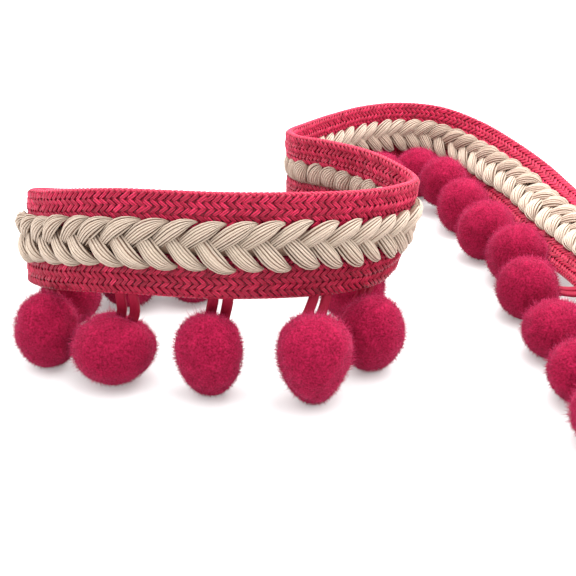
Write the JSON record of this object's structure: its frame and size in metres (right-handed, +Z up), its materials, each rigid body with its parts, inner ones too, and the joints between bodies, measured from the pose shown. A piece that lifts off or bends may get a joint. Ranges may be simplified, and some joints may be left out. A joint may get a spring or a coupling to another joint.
{
  "type": "pompom fringe trim",
  "caption": "Cut length of braided trim with a raised herringbone plait down its middle and pompoms on short loops along one edge, standing in a loose snake; sewn on as an edging.",
  "frame": {"origin": "middle of the bounding box in plan, on the surface that the pompoms stand on", "axes": "+Z up, +Y along the longest side of the lay, away from the front run's viewer; +X to that viewer's right"},
  "size_m": [0.1792, 0.1992, 0.0484],
  "materials": {
    "pink_braid": "braided yarn, slightly shiny",
    "cream_plait": "soft plaited yarn, matte",
    "loop_ribbon": "flat braided ribbon",
    "pompom_pile": "dense cut pile"
  },
  "bodies": {
    "root": {"upper_braid": "pink_braid", "lower_braid": "pink_braid", "plait": "cream_plait", "hanger_01": "loop_ribbon", "pompom_01": "pompom_pile", "hanger_02": "loop_ribbon", "pompom_02": "pompom_pile", "hanger_03": "loop_ribbon", "pompom_03": "pompom_pile", "hanger_04": "loop_ribbon", "pompom_04": "pompom_pile", "hanger_05": "loop_ribbon", "pompom_05": "pompom_pile", "hanger_06": "loop_ribbon", "pompom_06": "pompom_pile", "hanger_07": "loop_ribbon", "pompom_07": "pompom_pile", "hanger_08": "loop_ribbon", "pompom_08": "pompom_pile", "hanger_09": "loop_ribbon", "pompom_09": "pompom_pile", "hanger_10": "loop_ribbon", "pompom_10": "pompom_pile", "hanger_11": "loop_ribbon", "pompom_11": "pompom_pile", "hanger_12": "loop_ribbon", "pompom_12": "pompom_pile", "hanger_13": "loop_ribbon", "pompom_13": "pompom_pile", "hanger_14": "loop_ribbon", "pompom_14": "pompom_pile", "hanger_15": "loop_ribbon", "pompom_15": "pompom_pile", "hanger_16": "loop_ribbon", "pompom_16": "pompom_pile", "hanger_17": "loop_ribbon", "pompom_17": "pompom_pile", "hanger_18": "loop_ribbon", "pompom_18": "pompom_pile", "hanger_19": "loop_ribbon", "pompom_19": "pompom_pile", "hanger_20": "loop_ribbon", "pompom_20": "pompom_pile", "hanger_21": "loop_ribbon", "pompom_21": "pompom_pile", "hanger_22": "loop_ribbon", "pompom_22": "pompom_pile", "hanger_23": "loop_ribbon", "pompom_23": "pompom_pile"}
  },
  "joints": []
}
